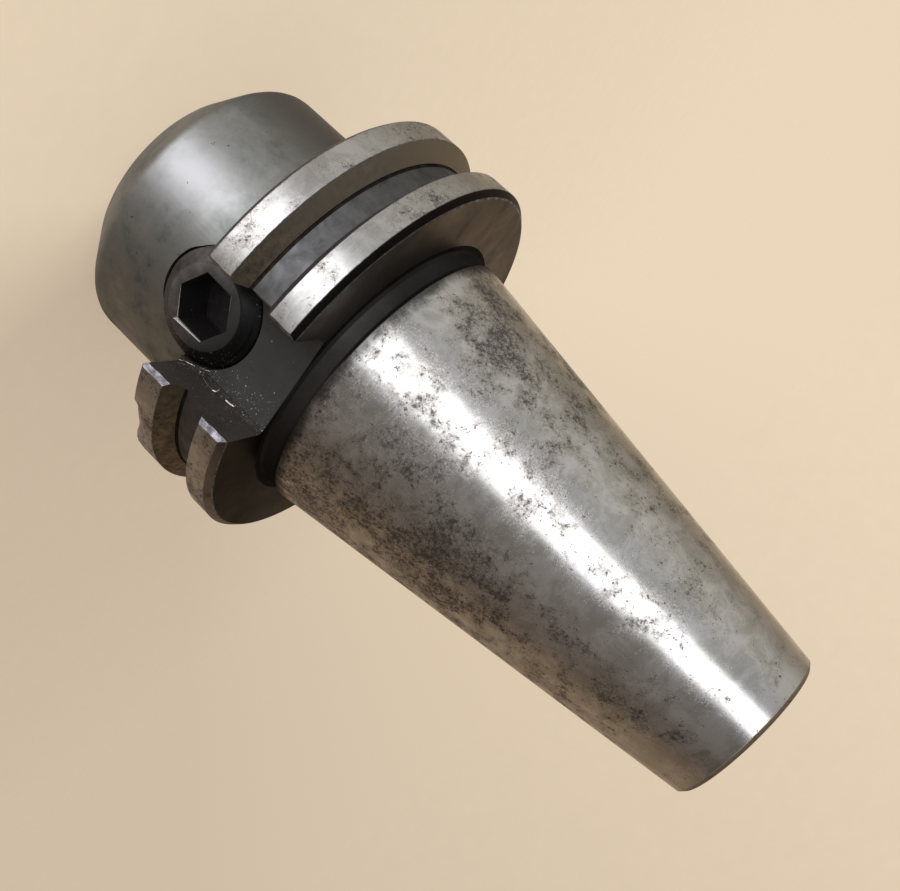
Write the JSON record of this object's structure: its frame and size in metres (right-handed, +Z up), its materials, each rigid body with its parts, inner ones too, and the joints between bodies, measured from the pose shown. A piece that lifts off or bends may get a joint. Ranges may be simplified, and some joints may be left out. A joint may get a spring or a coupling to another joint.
{
  "type": "end mill holder",
  "caption": "Short end mill holder with a steep taper shank, a grooved and slotted drive flange and a side set screw that clamps the cutter shank.",
  "frame": {"origin": "centre of the nose face, which the holder stands on", "axes": "+Z up the tool axis to the taper's small end, the set screw and its drive slot facing -Y"},
  "size_m": [0.0635, 0.061, 0.1127],
  "materials": {
    "hardened_steel": "black oxide nose, neck and groove, ground rings and taper, worn and stained",
    "blackened_steel": "black oxide, worn at the socket"
  },
  "bodies": {
    "holder": {"holder_body": "hardened_steel"},
    "screw": {"set_screw": "blackened_steel"}
  },
  "joints": [
    {"name": "screw_travel", "type": "slide", "parent": "holder", "child": "screw", "axis": [0, -1, 0], "range_m": [-0.0027, 0.008]}
  ]
}
